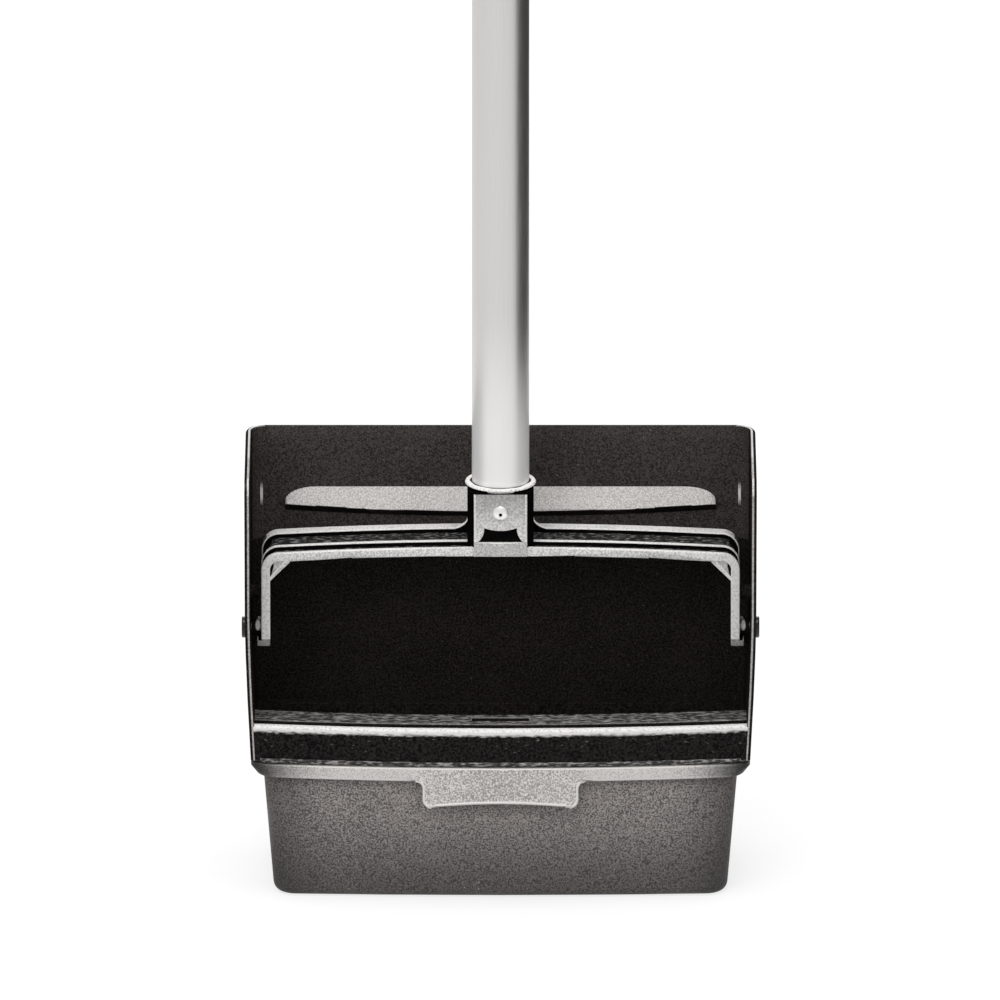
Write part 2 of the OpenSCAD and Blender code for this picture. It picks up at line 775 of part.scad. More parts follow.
module yoke() {
    head_depth = pin_head_sink + pin_head_t + turn_gap;
    color("#3a3a3c")
        difference() {
            union() {
                yoke_strip(0, web_t, yoke_front, yoke_d);
                for (y = [yoke_front, yoke_front + rib_mid - rib_t / 2])
                    yoke_strip(0, yoke_t, y, rib_t);
                yoke_strip(0, yoke_t, yoke_back - rear_rib_t, rear_rib_t);
                both_sides() {
                    corner_brace();
                    arm_foot();
                    axle(boss_d / 2, arm_in + weld, arm_out);
                    socket_fin();
                }
                socket_block();
            }
            translate([0, handle_y, tube_z])
                cylinder(r = tube_r + socket_gap, h = socket_h + overrun);
            socket_notch();
            translate([0, handle_y, rivet_z])
                rotate([90, 0, 0])
                    cylinder(d = rivet_d + 2 * slip_gap, h = yoke_d);
            axle(pin_d / 2 + pin_run_gap, -scoop_w, scoop_w);
            both_sides()
                axle(pin_head_d / 2 + turn_gap, arm_in - overrun, arm_in + head_depth);
        }
}

module handle_tube() {
    color("silver")
        difference() {
            translate([0, handle_y, tube_z])
                cylinder(r = tube_r, h = tube_l);
            translate([0, handle_y, tube_z - overrun])
                cylinder(r = tube_bore_r, h = tube_l + 2 * overrun);
            translate([0, handle_y, rivet_z])
                rotate([90, 0, 0])
                    cylinder(d = rivet_d + 2 * slip_gap, h = tube_d);
        }
}

module hand_grip() {
    r = tube_r + slip_gap;
    edge_x = r + grip_t - grip_edge_r;
    groove_z = (grip_l - (grip_rings - 1) * ring_pitch) / 2;
    color("#161617")
        translate([0, handle_y, tube_top - grip_l])
            rotate_extrude()
                difference() {
                    polygon(concat(
                        [[r, 0]],
                        arc([edge_x, grip_edge_r], grip_edge_r, 270, 360, corner_steps),
                        arc([edge_x, grip_l - grip_edge_r], grip_edge_r, 0, 90, corner_steps),
                        [[r, grip_l]]));
                    for (i = [0:grip_rings - 1])
                        translate([r + grip_t, groove_z + i * ring_pitch])
                            circle(d = ring_d, $fn = groove_fn);
                }
}

module hanger_cap() {
    flange_r = tube_r + grip_t;
    eye_z = tube_top + flange_t + eye_h - eye_w / 2;
    color("#161617")
        difference() {
            union() {
                translate([0, handle_y, tube_top - plug_l])
                    cylinder(r = tube_bore_r - slip_gap, h = plug_l);
                translate([0, handle_y, tube_top])
                    cylinder(r = flange_r, h = flange_t);
                translate([0, handle_y + eye_t / 2, eye_z])
                    rotate([90, 0, 0])
                        cylinder(d = eye_w, h = eye_t);
                translate([-eye_w / 2, handle_y - eye_t / 2, tube_top])
                    cube([eye_w, eye_t, flange_t + eye_h - eye_w / 2]);
            }
            translate([0, handle_y + eye_t, eye_z])
                rotate([90, 0, 0])
                    cylinder(d = eye_hole_d, h = 2 * eye_t);
        }
}

// Something on the rivet's own axis, which points out of the socket's front
module on_rivet() {
    translate([0, yoke_front, rivet_z])
        rotate([90, 0, 0])
            rotate_extrude()
                children();
}

module socket_rivet() {
    head_r = bow_r(rivet_head_d / 2, rivet_head_h);
    bore_r = rivet_bore_d / 2;
    color("gainsboro")
        on_rivet()
            difference() {
                union() {
                    intersection() {
                        translate([0, rivet_head_h - head_r])
                            circle(r = head_r);
                        square([rivet_head_d / 2, rivet_head_h]);
                    }
                    translate([0, -rivet_grip - rivet_bulge_l])
                        square([rivet_d / 2, rivet_grip + rivet_bulge_l]);
                    translate([0, -rivet_grip - rivet_bulge_l])
                        square([rivet_bulge_d / 2, rivet_bulge_l]);
                }
                translate([0, -rivet_grip - rivet_bulge_l - overrun])
                    square([bore_r, rivet_grip + rivet_bulge_l + rivet_head_h + 2 * overrun]);
            }
}

module rivet_stem() {
    ball_r = (rivet_d + rivet_bore_d) / 4;
    low = -rivet_grip - rivet_bulge_l;
    color("dimgray")
        on_rivet() {
            translate([0, low - ball_r])
                square([ball_r, ball_r]);
            translate([0, low - ball_r])
                square([rivet_bore_d / 2 - slip_gap, rivet_head_h - stem_sink - low + ball_r]);
        }
}

// The right pivot pin: a flat head in the arm, and a shank out through the wall into its cap
module pivot_pin() {
    head_x = arm_in + pin_head_sink;
    color("lightsteelblue") {
        axle(pin_head_d / 2, head_x, head_x + pin_head_t);
        axle(pin_d / 2, head_x, cap_seat + pin_reach);
    }
}

module pivot_cap() {
    edge_r = cap_h / 3;
    bore_r = pin_d / 2 + slip_gap;
    bore_l = pin_reach + slip_gap;
    color("#161617")
        translate([cap_seat, pivot_y, pivot_z])
            rotate([0, 90, 0])
                rotate_extrude()
                    polygon(concat(
                        [[bore_r, 0], [cap_d / 2, 0]],
                        arc([cap_d / 2 - edge_r, cap_h - edge_r], edge_r, 0, 90, corner_steps),
                        [[0, cap_h], [0, bore_l], [bore_r, bore_l]]));
}

module pivot_spacer() {
    color("white")
        difference() {
            axle(spacer_d / 2, arm_out + turn_gap, spacer_out);
            axle(pin_d / 2 + slip_gap, arm_out - overrun, spacer_out + overrun);
        }
}

bin();
scoop();
yoke();
handle_tube();
hand_grip();
hanger_cap();
socket_rivet();
rivet_stem();
mirror([1, 0, 0]) pivot_pin();  // pivot_pin_left
pivot_pin();  // pivot_pin_right
mirror([1, 0, 0]) pivot_cap();  // pivot_cap_left
pivot_cap();  // pivot_cap_right
mirror([1, 0, 0]) pivot_spacer();  // pivot_spacer_left
pivot_spacer();  // pivot_spacer_right
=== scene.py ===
import json
import math

import bmesh
import bpy
from bpy.props import FloatProperty, FloatVectorProperty, PointerProperty
from bpy.types import Operator, Panel, PropertyGroup
from mathutils import Matrix, Vector
from mathutils.bvhtree import BVHTree
from mathutils.geometry import intersect_line_line_2d, intersect_point_line

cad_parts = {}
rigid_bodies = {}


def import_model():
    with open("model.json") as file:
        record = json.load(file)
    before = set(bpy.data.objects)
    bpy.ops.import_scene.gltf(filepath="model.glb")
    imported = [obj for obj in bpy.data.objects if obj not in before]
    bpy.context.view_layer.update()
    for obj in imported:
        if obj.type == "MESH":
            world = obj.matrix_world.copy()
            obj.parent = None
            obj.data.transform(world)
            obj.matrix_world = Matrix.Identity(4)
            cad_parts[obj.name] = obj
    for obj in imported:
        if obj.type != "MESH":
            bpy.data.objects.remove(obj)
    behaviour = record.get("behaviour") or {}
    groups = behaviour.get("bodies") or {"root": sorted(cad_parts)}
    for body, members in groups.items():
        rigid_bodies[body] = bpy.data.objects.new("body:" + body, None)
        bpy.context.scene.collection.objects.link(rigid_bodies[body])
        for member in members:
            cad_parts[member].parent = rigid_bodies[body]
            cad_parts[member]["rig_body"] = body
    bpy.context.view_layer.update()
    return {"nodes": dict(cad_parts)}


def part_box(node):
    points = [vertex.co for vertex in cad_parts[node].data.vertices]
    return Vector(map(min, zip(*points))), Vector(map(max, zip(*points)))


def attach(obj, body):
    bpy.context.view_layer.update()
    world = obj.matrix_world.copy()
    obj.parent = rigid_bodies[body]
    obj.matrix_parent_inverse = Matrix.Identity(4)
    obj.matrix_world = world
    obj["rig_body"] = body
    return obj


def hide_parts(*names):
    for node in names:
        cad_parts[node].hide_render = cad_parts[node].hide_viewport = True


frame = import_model()

bl_info = {
    "name": "Lobby dustpan",
    "version": (1, 0, 0),
    "blender": (4, 5, 0),
    "location": "View3D > Sidebar > Dustpan",
    "description": "Rounds and finishes the mouldings and metal of a lobby dustpan, and sets up its studio",
    "category": "Object",
}

MM = 0.001


def bow_radius(half_chord, rise):
    """Radius of an arc, from half its chord and its rise"""
    return (half_chord ** 2 + rise ** 2) / (2 * rise)


# Places that the finishes follow, in the CAD's own frame
BIN_LOW, BIN_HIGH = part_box("bin")
SCOOP_LOW, SCOOP_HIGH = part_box("scoop")
YOKE_LOW, YOKE_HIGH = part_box("yoke")
TUBE_LOW, TUBE_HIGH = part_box("handle_tube")
SPACER_LOW, SPACER_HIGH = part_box("pivot_spacer_right")

# The bin's rim, bowed in plan with a painted highlight along its foot, and the tongue that leans out from it
RIM_FOOT = BIN_HIGH.z - 7.7 * MM
STRIP_TOP = RIM_FOOT + 1.5 * MM
STRIP_DROP = 4.4 * MM
BOW_R = bow_radius(139.25 * MM, 9 * MM)
BOW_Y = SCOOP_LOW.y - 1.1 * MM
TONGUE_BACK = BIN_LOW.y + 6.5 * MM
TONGUE_ROOT = BIN_HIGH.z - 1.6 * MM
TONGUE_LEAN = math.radians(7)
TONGUE_HALF = 48 * MM
BESIDE_TONGUE = 45 * MM
BEAD_DROP = 5 * MM
BEAD_PROUD = 0.25 * MM

# The scoop's foot, sill and ledge, its walls, and its back panel with the ramp across it
FOOT_TOP = BIN_HIGH.z + 3.3 * MM
SILL_TOP = BIN_HIGH.z + 22 * MM
SILL_HALF = 137.2 * MM
SILL_NOSE = SILL_TOP - 2.1 * MM
SILL_DUST = SILL_TOP - 4.6 * MM
LEDGE_TOP = SILL_TOP - 2.5 * MM
WALL_FRONT = SCOOP_HIGH.y - 106 * MM
SILL_BACK = WALL_FRONT + 6 * MM
PANEL_FACE = SCOOP_HIGH.y - 3 * MM
BEND_FRONT = PANEL_FACE - 9 * MM
RAMP_HALF = 122 * MM
RAMP_TOP = SCOOP_HIGH.z - 35.5 * MM
RAMP_CREST = RAMP_TOP - 12.5 * MM
# Above this height the panel is lit and swept; below it, its darker, unshining black is painted shade
LIT_AND_SWEPT_FROM = RAMP_TOP - 30 * MM
# Height and half height of the painted glint in the bends beside the ramp
GLINT_Z = RAMP_TOP - 4 * MM
GLINT_HALF = 7 * MM

# The yoke's face, the arch under its crossbar, its arms, the block in its middle and the socket
YOKE_FACE = YOKE_LOW.y + 0.9 * MM
UNDERSIDE = BIN_HIGH.z + 111.8 * MM
ARM_IN = YOKE_HIGH.x - 7.4 * MM
ARM_FOOT = YOKE_LOW.z + 4.2 * MM
ARCH_R = bow_radius(ARM_IN, 3.6 * MM)
CORNER_R = 5 * MM
CORNER_X = ARM_IN - CORNER_R
CORNER_Z = UNDERSIDE + math.sqrt((ARCH_R - CORNER_R) ** 2 - CORNER_X ** 2) - ARCH_R
RIB_CREST = 4 * MM
BLOCK_TOP = UNDERSIDE + 8.7 * MM
HANDLE_Y = (TUBE_LOW.y + TUBE_HIGH.y) / 2
SOCKET_HALF = 20 * MM
SOCKET_REACH = 24.5 * MM
MOUTH_BORE = 16.8 * MM
MOUTH_LIP = YOKE_HIGH.z - 2.2 * MM
MOUTH_ROLL = YOKE_HIGH.z - 4 * MM
FACET_TOP = YOKE_HIGH.z - 6 * MM
FACET_HEIGHT = 25 * MM

# The stop pegs on the walls, in the gap beside the arms
PEG_IN = ARM_IN + 5.2 * MM
PEG_OUT = ARM_IN + 9.5 * MM
PEG_BACK = PANEL_FACE - 12 * MM

# How the CAD's triangles are merged, and which edges of the result are rounded or shaded as sharp
MERGE = 0.06 * MM
ON_PLANE = 0.01 * MM
FLAT = math.radians(0.5)
ROUNDED_FROM = math.radians(40)
SHARP_FROM = math.radians(25)
# Rounding that folds a face is tried again without the edges that lie within so many radii of the fold
TRIALS = 12
FOLD_REACH = 1.2
SHORT_EDGE = 4 * MM
FOLD_AREA = 0.001 * MM ** 2

# Values that noise mostly lies between: in a mould's grain, in clouds of colour and in lines on metal
GRAIN_LOW, GRAIN_HIGH = 0.4, 0.6
CLOUD_LOW, CLOUD_HIGH = 0.35, 0.65
LINES_LOW, LINES_HIGH = 0.3, 0.7
# Share of the grain in a moulding's colour, next to the clouds, and how far from even the finishes and the
# painted highlights are
GRAIN_SHARE = 0.87
HIGHLIGHT_SPREAD = 0.25
GLOSS_SPREAD = 0.2
LINE_SPREAD = 0.15
LINE_MOTTLE = 0.04
HIGHLIGHT_AND_DUST_DULLS = 0.25
# Sizes of patterns
CLOUD = 30 * MM
STREAK = 1.2 * MM
LINT_CELL = 4 * MM
LINE = 0.5 * MM
GRAIN_DEPTH = 0.15 * MM
LINE_DEPTH = 0.05 * MM

# The stage
FLOOR_HALF = 8
FLOOR_GLOW = 0.72
LAMPS_AIM = (0, 0, 0.16)
SENSOR_MM = 36


def linear(hex_code):
    """A hex sRGB colour as linear red, green, blue and alpha"""
    parts = [int(hex_code[i:i + 2], 16) / 255 for i in (1, 3, 5)]
    return [c / 12.92 if c <= 0.04045 else ((c + 0.055) / 1.055) ** 2.4 for c in parts] + [1.0]


def colour(name, description, hex_code):
    """A colour that the user can change"""
    return FloatVectorProperty(name=name, description=description, subtype="COLOR", size=4,
                               min=0, max=1, default=linear(hex_code))


def length(name, description, mm):
    """A length that the user can change, with its default in millimetres"""
    return FloatProperty(name=name, description=description, subtype="DISTANCE", unit="LENGTH",
                         min=0, precision=5, default=mm * MM)


class DustpanFinish(PropertyGroup):
    """Colours of the pieces"""
    bin_wall: colour("Bin wall", "Textured grey of the bin", "#8f8986")
    # The rim's grey is paler than the wall's, partly as painted light
    bin_rim: colour("Bin rim", "Smoother grey of the rim and the tongue", "#c6c2bf")
    black: colour("Black", "Black of the scoop", "#0c0b0b")
    scuffed: colour("Scuffed black", "Black of the scoop where sweepings cross it", "#3d3937")
    # Deep in the scoop, this unshining black is painted shade
    matt: colour("Matt black", "Black of the scoop's inside", "#242120")
    smeared: colour("Smeared black", "Black of the sill", "#1d1a1a")
    # Pale tone of painted highlights, and of dust and lint
    highlighted: colour("Highlighted", "Pale tone of plastic where it is rubbed or dusty", "#e4e1de")
    yoke: colour("Yoke", "Black of the yoke", "#121111")
    # Pale tone of the yoke's painted highlights and reflections
    highlight_and_dust: colour("Yoke highlight", "Pale tone of the yoke where it is rubbed", "#f2f0ee")
    tube: colour("Tube", "Anodised aluminium of the handle", "#d4d2d0")
    rivet: colour("Rivet", "Bare aluminium of the rivet", "#f4f3f2")
    # The stem lies down in the rivet's bore, and its dark tone is painted shade
    stem: colour("Stem", "Shaded steel in the rivet", "#1c1a19")
    steel: colour("Steel", "Zinc-plated steel of the pins", "#b9bbbd")
    # The nylon's own pale shows only in the highlight painted on the spacers
    nylon: colour("Nylon", "Natural nylon of the spacers", "#eeece6")
    grease: colour("Grease", "Film of grease on the spacers", "#1a1817")
    vinyl: colour("Vinyl", "Black vinyl of the grip", "#161617")


class DustpanEdges(PropertyGroup):
    """Rounding of the moulded edges"""
    bin_edge: length("Bin", "Radius of the bin's edges", 0.6)
    scoop_edge: length("Scoop", "Radius of the scoop's edges", 0.5)
    wall_edge: length("Walls", "Radius outside the front and the top of the scoop's walls", 1.5)
    yoke_edge: length("Yoke", "Radius of the yoke's edges", 0.7)
    cap_edge: length("Hanging cap", "Radius of the hanging cap's edges", 0.8)


class DustpanStudio(PropertyGroup):
    """Camera and lamps"""
    elevation: FloatProperty(name="Elevation", description="Height of the camera's view above the horizon",
                             subtype="ANGLE", unit="ROTATION", default=math.radians(18))
    distance: FloatProperty(name="Distance", description="From the camera to what it looks at",
                            subtype="DISTANCE", unit="LENGTH", default=15)
    lens: FloatProperty(name="Lens", description="Focal length on a 36 mm sensor", unit="CAMERA",
                        default=968.3)
    aim: FloatVectorProperty(name="Aim", description="Point in the middle of the picture", subtype="XYZ",
                             unit="LENGTH", default=(-0.0003, 0, 0.2196))
    key: FloatProperty(name="Key", description="Radiance of the lamp above the camera", min=0, default=3.4)
    over: FloatProperty(name="Over", description="Radiance of the lamp overhead", min=0, default=4)
    back: FloatProperty(name="Back", description="Radiance of the lamp behind", min=0, default=3)
    fill: FloatProperty(name="Fill", description="Strength of the light from all round", min=0, default=0.85)


def add(tree, kind, sockets=None, **settings):
    """A node of that kind, with settings, and with values or links for its input sockets"""
    node = tree.nodes.new(kind)
    for name, value in settings.items():
        setattr(node, name, value)
    for name, value in (sockets or {}).items():
        if isinstance(value, bpy.types.NodeSocket):
            tree.links.new(value, node.inputs[name])
        else:
            node.inputs[name].default_value = value
    return node


def new_material(name):
    """An empty node material and its tree"""
    material = bpy.data.materials.new(name)
    material.use_nodes = True
    material.node_tree.nodes.clear()
    return material, material.node_tree


def dust_and_highlight_streaks(tree, place):
    """Dust, and the painted highlight along the top of the sill, in ragged streaks from side to side, which
    spread and join where there is more of it
    """
    dust_and_highlight = add(tree, "ShaderNodeAttribute", attribute_name="dust_and_highlight")
    drawn = add(tree, "ShaderNodeMapping", {"Vector": place, "Scale": (0.3, 1, 1)})
    ragged = add(tree, "ShaderNodeTexNoise", {"Vector": drawn.outputs[0], "Scale": 1 / STREAK, "Detail": 4.0})
    heap = add(tree, "ShaderNodeMath", {0: dust_and_highlight.outputs["Fac"], 1: ragged.outputs["Fac"]}, operation="ADD")
    return add(tree, "ShaderNodeMapRange", {"Value": heap.outputs[0], "From Min": 0.82, "From Max": 1.3})


def lint(tree, place, most):
    """Specks of lint, under a millimetre across, in some of the cells of a random pattern"""
    cells = add(tree, "ShaderNodeTexVoronoi", {"Vector": place, "Scale": 1 / LINT_CELL})
    inside = add(tree, "ShaderNodeMath", {0: cells.outputs["Distance"], 1: 0.12}, operation="LESS_THAN")
    lot = add(tree, "ShaderNodeSeparateColor", {0: cells.outputs["Color"]})
    pale = add(tree, "ShaderNodeMapRange", {"Value": lot.outputs["Red"], "From Min": 0.4, "To Max": most})
    return add(tree, "ShaderNodeMath", {0: inside.outputs[0], 1: pale.outputs[0]}, operation="MULTIPLY")


def mirrored(tree, place):
    """A place with its distances from the middle, so that the two sides of the part match"""
    return add(tree, "ShaderNodeVectorMath", {0: place}, operation="ABSOLUTE").outputs[0]


def painted_highlight_spot(tree, place, highlight_spot):
    """A soft oval on each side of the part, where a highlight is painted"""
    x, z, wide, high = highlight_spot
    about = add(tree, "ShaderNodeMapping", {"Vector": mirrored(tree, place),
                                            "Location": (-x / wide, 0, -z / high),
                                            "Scale": (1 / wide, 0, 1 / high)})
    oval = add(tree, "ShaderNodeTexGradient", {"Vector": about.outputs[0]}, gradient_type="SPHERICAL")
    return add(tree, "ShaderNodeMapRange", {"Value": oval.outputs["Fac"], "From Max": 0.4})


def moulded(name, tint, pale, roughness, grain_mm, relief, mottle, specular=0.5, painted_shade=(), flecks=0,
            highlight_spot=None):
    """Moulded plastic: grain from the mould, uneven colour and gloss, painted highlights, painted shade and
    settled dust.
    painted_shade holds an axis, two places along it and the tone that the colour falls to between them:
    painted shade.
    flecks is how pale specks of lint are at most.
    highlight_spot is a place beside the pivots, its half width and half height: a highlight is painted there."""
    material, tree = new_material(name)
    place = add(tree, "ShaderNodeTexCoord").outputs["Object"]
    grain = add(tree, "ShaderNodeTexNoise", {"Vector": place, "Scale": 1 / (grain_mm * MM), "Detail": 2.0})
    cloud = add(tree, "ShaderNodeTexNoise", {"Vector": place, "Scale": 1 / CLOUD, "Detail": 4.0})
    both = add(tree, "ShaderNodeMath", {0: grain.outputs["Fac"], 1: GRAIN_SHARE}, operation="MULTIPLY")
    both = add(tree, "ShaderNodeMath", {0: cloud.outputs["Fac"], 1: 1 - GRAIN_SHARE, 2: both.outputs[0]},
               operation="MULTIPLY_ADD")
    # The colour, darker where shade is painted
    tone = add(tree, "ShaderNodeMapRange", {"Value": both.outputs[0],
                                            "From Min": GRAIN_LOW, "From Max": GRAIN_HIGH,
                                            "To Min": 1 - mottle, "To Max": 1 + mottle})
    highlighted = add(tree, "ShaderNodeAttribute", attribute_name="highlight").outputs["Fac"]
    if painted_shade:
        axes = add(tree, "ShaderNodeSeparateXYZ", {0: mirrored(tree, place)})
    for axis, unshaded, shaded, level in painted_shade:
        shade = add(tree, "ShaderNodeMapRange", {"Value": axes.outputs[axis],
                                                "From Min": unshaded, "From Max": shaded,
                                                "To Min": 1.0, "To Max": level},
                   interpolation_type="SMOOTHSTEP")
        tone = add(tree, "ShaderNodeMath", {0: tone.outputs[0], 1: shade.outputs[0]}, operation="MULTIPLY")
        highlighted = add(tree, "ShaderNodeMath", {0: highlighted, 1: shade.outputs[0]}, operation="MULTIPLY").outputs[0]
    base = add(tree, "ShaderNodeVectorMath", {0: tint[:3], "Scale": tone.outputs[0]}, operation="SCALE")
    # What is pale: painted highlights, dust, lint, or else the painted highlight spot alone
    uneven = add(tree, "ShaderNodeMapRange", {"Value": both.outputs[0],
                                              "From Min": GRAIN_LOW, "From Max": GRAIN_HIGH,
                                              "To Min": 1 - HIGHLIGHT_SPREAD, "To Max": 1 + HIGHLIGHT_SPREAD})
    highlight_and_dust = add(tree, "ShaderNodeMath", {0: highlighted, 1: uneven.outputs[0]}, operation="MULTIPLY")
    highlight_and_dust = add(tree, "ShaderNodeMath", {0: highlight_and_dust.outputs[0], 1: dust_and_highlight_streaks(tree, place).outputs[0]},
               operation="MAXIMUM")
    if flecks:
        highlight_and_dust = add(tree, "ShaderNodeMath", {0: highlight_and_dust.outputs[0], 1: lint(tree, place, flecks).outputs[0]},
                   operation="MAXIMUM")
    if highlight_spot:
        highlight_and_dust = painted_highlight_spot(tree, place, highlight_spot)
    skin = add(tree, "ShaderNodeMix", {0: highlight_and_dust.outputs[0], 6: base.outputs[0], 7: pale}, data_type="RGBA")
    # The shine, which is duller where highlights, dust and lint are painted pale
    gloss = add(tree, "ShaderNodeMapRange", {"Value": cloud.outputs["Fac"],
                                             "From Min": CLOUD_LOW, "From Max": CLOUD_HIGH,
                                             "To Min": roughness * (1 - GLOSS_SPREAD),
                                             "To Max": roughness * (1 + GLOSS_SPREAD)})
    dull = add(tree, "ShaderNodeMath", {0: highlight_and_dust.outputs[0], 1: HIGHLIGHT_AND_DUST_DULLS, 2: gloss.outputs[0]},
               operation="MULTIPLY_ADD")
    bump = add(tree, "ShaderNodeBump", {"Strength": relief, "Distance": GRAIN_DEPTH,
                                        "Height": grain.outputs["Fac"]})
    shader = add(tree, "ShaderNodeBsdfPrincipled", {"Base Color": skin.outputs[2], "IOR": 1.5,
                                                    "Specular IOR Level": specular,
                                                    "Roughness": dull.outputs[0],
                                                    "Normal": bump.outputs["Normal"]})
    add(tree, "ShaderNodeOutputMaterial", {"Surface": shader.outputs[0]})
    return material


def metal(name, tint, roughness, stretch, painted_glare=None):
    """Drawn or turned metal: fine lines along the axis that the stretch leaves long.
    painted_glare is a pale tone and two heights: up to the first, the metal is painted pale and less metallic
    as painted light, and by the second this is gone."""
    material, tree = new_material(name)
    place = add(tree, "ShaderNodeTexCoord").outputs["Object"]
    lines = add(tree, "ShaderNodeMapping", {"Vector": place, "Scale": stretch})
    grain = add(tree, "ShaderNodeTexNoise", {"Vector": lines.outputs[0], "Scale": 1 / LINE, "Detail": 3.0})
    gloss = add(tree, "ShaderNodeMapRange", {"Value": grain.outputs["Fac"],
                                             "From Min": LINES_LOW, "From Max": LINES_HIGH,
                                             "To Min": roughness * (1 - LINE_SPREAD),
                                             "To Max": roughness * (1 + LINE_SPREAD)})
    bump = add(tree, "ShaderNodeBump", {"Strength": 0.05, "Distance": LINE_DEPTH,
                                        "Height": grain.outputs["Fac"]})
    tone = add(tree, "ShaderNodeMapRange", {"Value": grain.outputs["Fac"],
                                            "From Min": LINES_LOW, "From Max": LINES_HIGH,
                                            "To Min": 1 - LINE_MOTTLE, "To Max": 1 + LINE_MOTTLE})
    skin = add(tree, "ShaderNodeVectorMath", {0: tint[:3], "Scale": tone.outputs[0]},
               operation="SCALE").outputs[0]
    metallic_share = 1.0
    if painted_glare:
        pale, low, high = painted_glare
        axes = add(tree, "ShaderNodeSeparateXYZ", {0: place})
        glare = add(tree, "ShaderNodeMapRange", {"Value": axes.outputs["Z"],
                                                 "From Min": high, "From Max": low},
                    interpolation_type="SMOOTHSTEP").outputs[0]
        skin = add(tree, "ShaderNodeMix", {0: glare, 6: skin, 7: pale}, data_type="RGBA").outputs[2]
        metallic_share = add(tree, "ShaderNodeMapRange", {"Value": glare, "To Min": 0.92, "To Max": 0.25}).outputs[0]
    shader = add(tree, "ShaderNodeBsdfPrincipled", {"Base Color": skin, "Metallic": metallic_share,
                                                    "Roughness": gloss.outputs[0],
                                                    "Normal": bump.outputs["Normal"]})
    add(tree, "ShaderNodeOutputMaterial", {"Surface": shader.outputs[0]})
    return material


def new_object(name, data):
    """An object in the scene"""
    made = bpy.data.objects.new(name, data)
    bpy.context.scene.collection.objects.link(made)
    return made


def mesh_object(name, shape):
    """An object in the scene with a shape's mesh. The shape itself is freed"""
    mesh = bpy.data.meshes.new(name)
    shape.to_mesh(mesh)
    shape.free()
    return new_object(name, mesh)


def cut(shape, place, normal):
    """Splits the faces that a plane meets, and gives the edges that lie in it"""
    everything = shape.verts[:] + shape.edges[:] + shape.faces[:]
    made = bmesh.ops.bisect_plane(shape, geom=everything, dist=ON_PLANE, plane_co=place, plane_no=normal)
    return [part for part in made["geom_cut"] if isinstance(part, bmesh.types.BMEdge)]


def merged(node, cuts):
    """A CAD node as a closed shape of flat faces, split at the heights of the cuts"""
    shape = bmesh.new()
    shape.from_mesh(frame["nodes"][node].data)
    bmesh.ops.remove_doubles(shape, verts=shape.verts[:], dist=MERGE)
    # Flat rings are cut in four, because a face can't have a hole
    for normal in ((1, 0, 0), (0, 1, 0)):
        for edge in cut(shape, (0, 0, 0), normal):
            edge.seam = True
    bmesh.ops.dissolve_limit(shape, angle_limit=FLAT, verts=shape.verts[:], edges=shape.edges[:],
                             delimit={"SEAM"})
    for height in cuts:
        cut(shape, (0, 0, height), (0, 0, 1))
    return shape


def middle_of(edge):
    """The middle of an edge"""
    return (edge.verts[0].co + edge.verts[1].co) / 2


def edges_to_round(shape, plain):
    """Sharp outer edges, apart from the plain ones. Other sharp edges are marked for their shading"""
    chosen = []
    for edge in shape.edges:
        edge.smooth = True
        if not edge.is_manifold:
            continue
        angle = edge.calc_face_angle_signed()
        if angle > ROUNDED_FROM and not (plain and plain(middle_of(edge))):
            chosen.append(edge)
        elif abs(angle) > SHARP_FROM:
            edge.smooth = False
    return chosen


def bevel(shape, edges, radius, segments):
    """Rounds edges, and gives the faces that this makes"""
    made = bmesh.ops.bevel(shape, geom=edges, offset=radius, offset_type="OFFSET", segments=segments,
                           profile=0.5, affect="EDGES", clamp_overlap=False, material=-1)
    shape.normal_update()
    return set(made["faces"])


def turned_back(corners):
    """Whether a triangle faces away from the face that it belongs to"""
    a, b, c = (corner.vert.co for corner in corners)
    return (b - a).cross(c - a).dot(corners[0].face.normal) < -FOLD_AREA


def folds(shape):
    """Places where the outline of a face crosses itself"""
    places = []
    for face in {corners[0].face for corners in shape.calc_loop_triangles() if turned_back(corners)}:
        lay = face.normal.to_track_quat("Z", "Y").inverted()
        flat = [(lay @ vert.co).to_2d() for vert in face.verts]
        count = len(flat)
        for i in range(count):
            for j in range(i + 2, count - (i == 0)):
                if intersect_line_line_2d(flat[i], flat[(i + 1) % count], flat[j], flat[(j + 1) % count]):
                    places += [face.verts[k % count].co.copy() for k in (i, i + 1, j, j + 1)]
    return places


def near(edge, places, reach):
    """Whether one of the places lies within reach of an edge"""
    a, b = (vert.co for vert in edge.verts)
    for place in places:
        foot, share = intersect_point_line(place, a, b)
        foot = a if share < 0 else b if share > 1 else foot
        if (foot - place).length < reach:
            return True
    return False


def rounded_without_folds(shape, edges, radius):
    """A copy of a shape with edges rounded, and the faces that this makes.
    Where the rounding would fold a narrow face over itself, edges stay sharp, the short ones first."""
    shape.edges.index_update()
    for trials_left in reversed(range(TRIALS)):
        trial = shape.copy()
        trial.edges.ensure_lookup_table()
        rounding = bevel(trial, [trial.edges[edge.index] for edge in edges], radius, segments=2)
        places = folds(trial)
        if not places or not trials_left:
            return trial, rounding
        close = [edge for edge in edges if near(edge, places, FOLD_REACH * radius)]
        close = [edge for edge in close if edge.calc_length() < SHORT_EDGE] or close
        edges = [edge for edge in edges if edge not in close]
        trial.free()


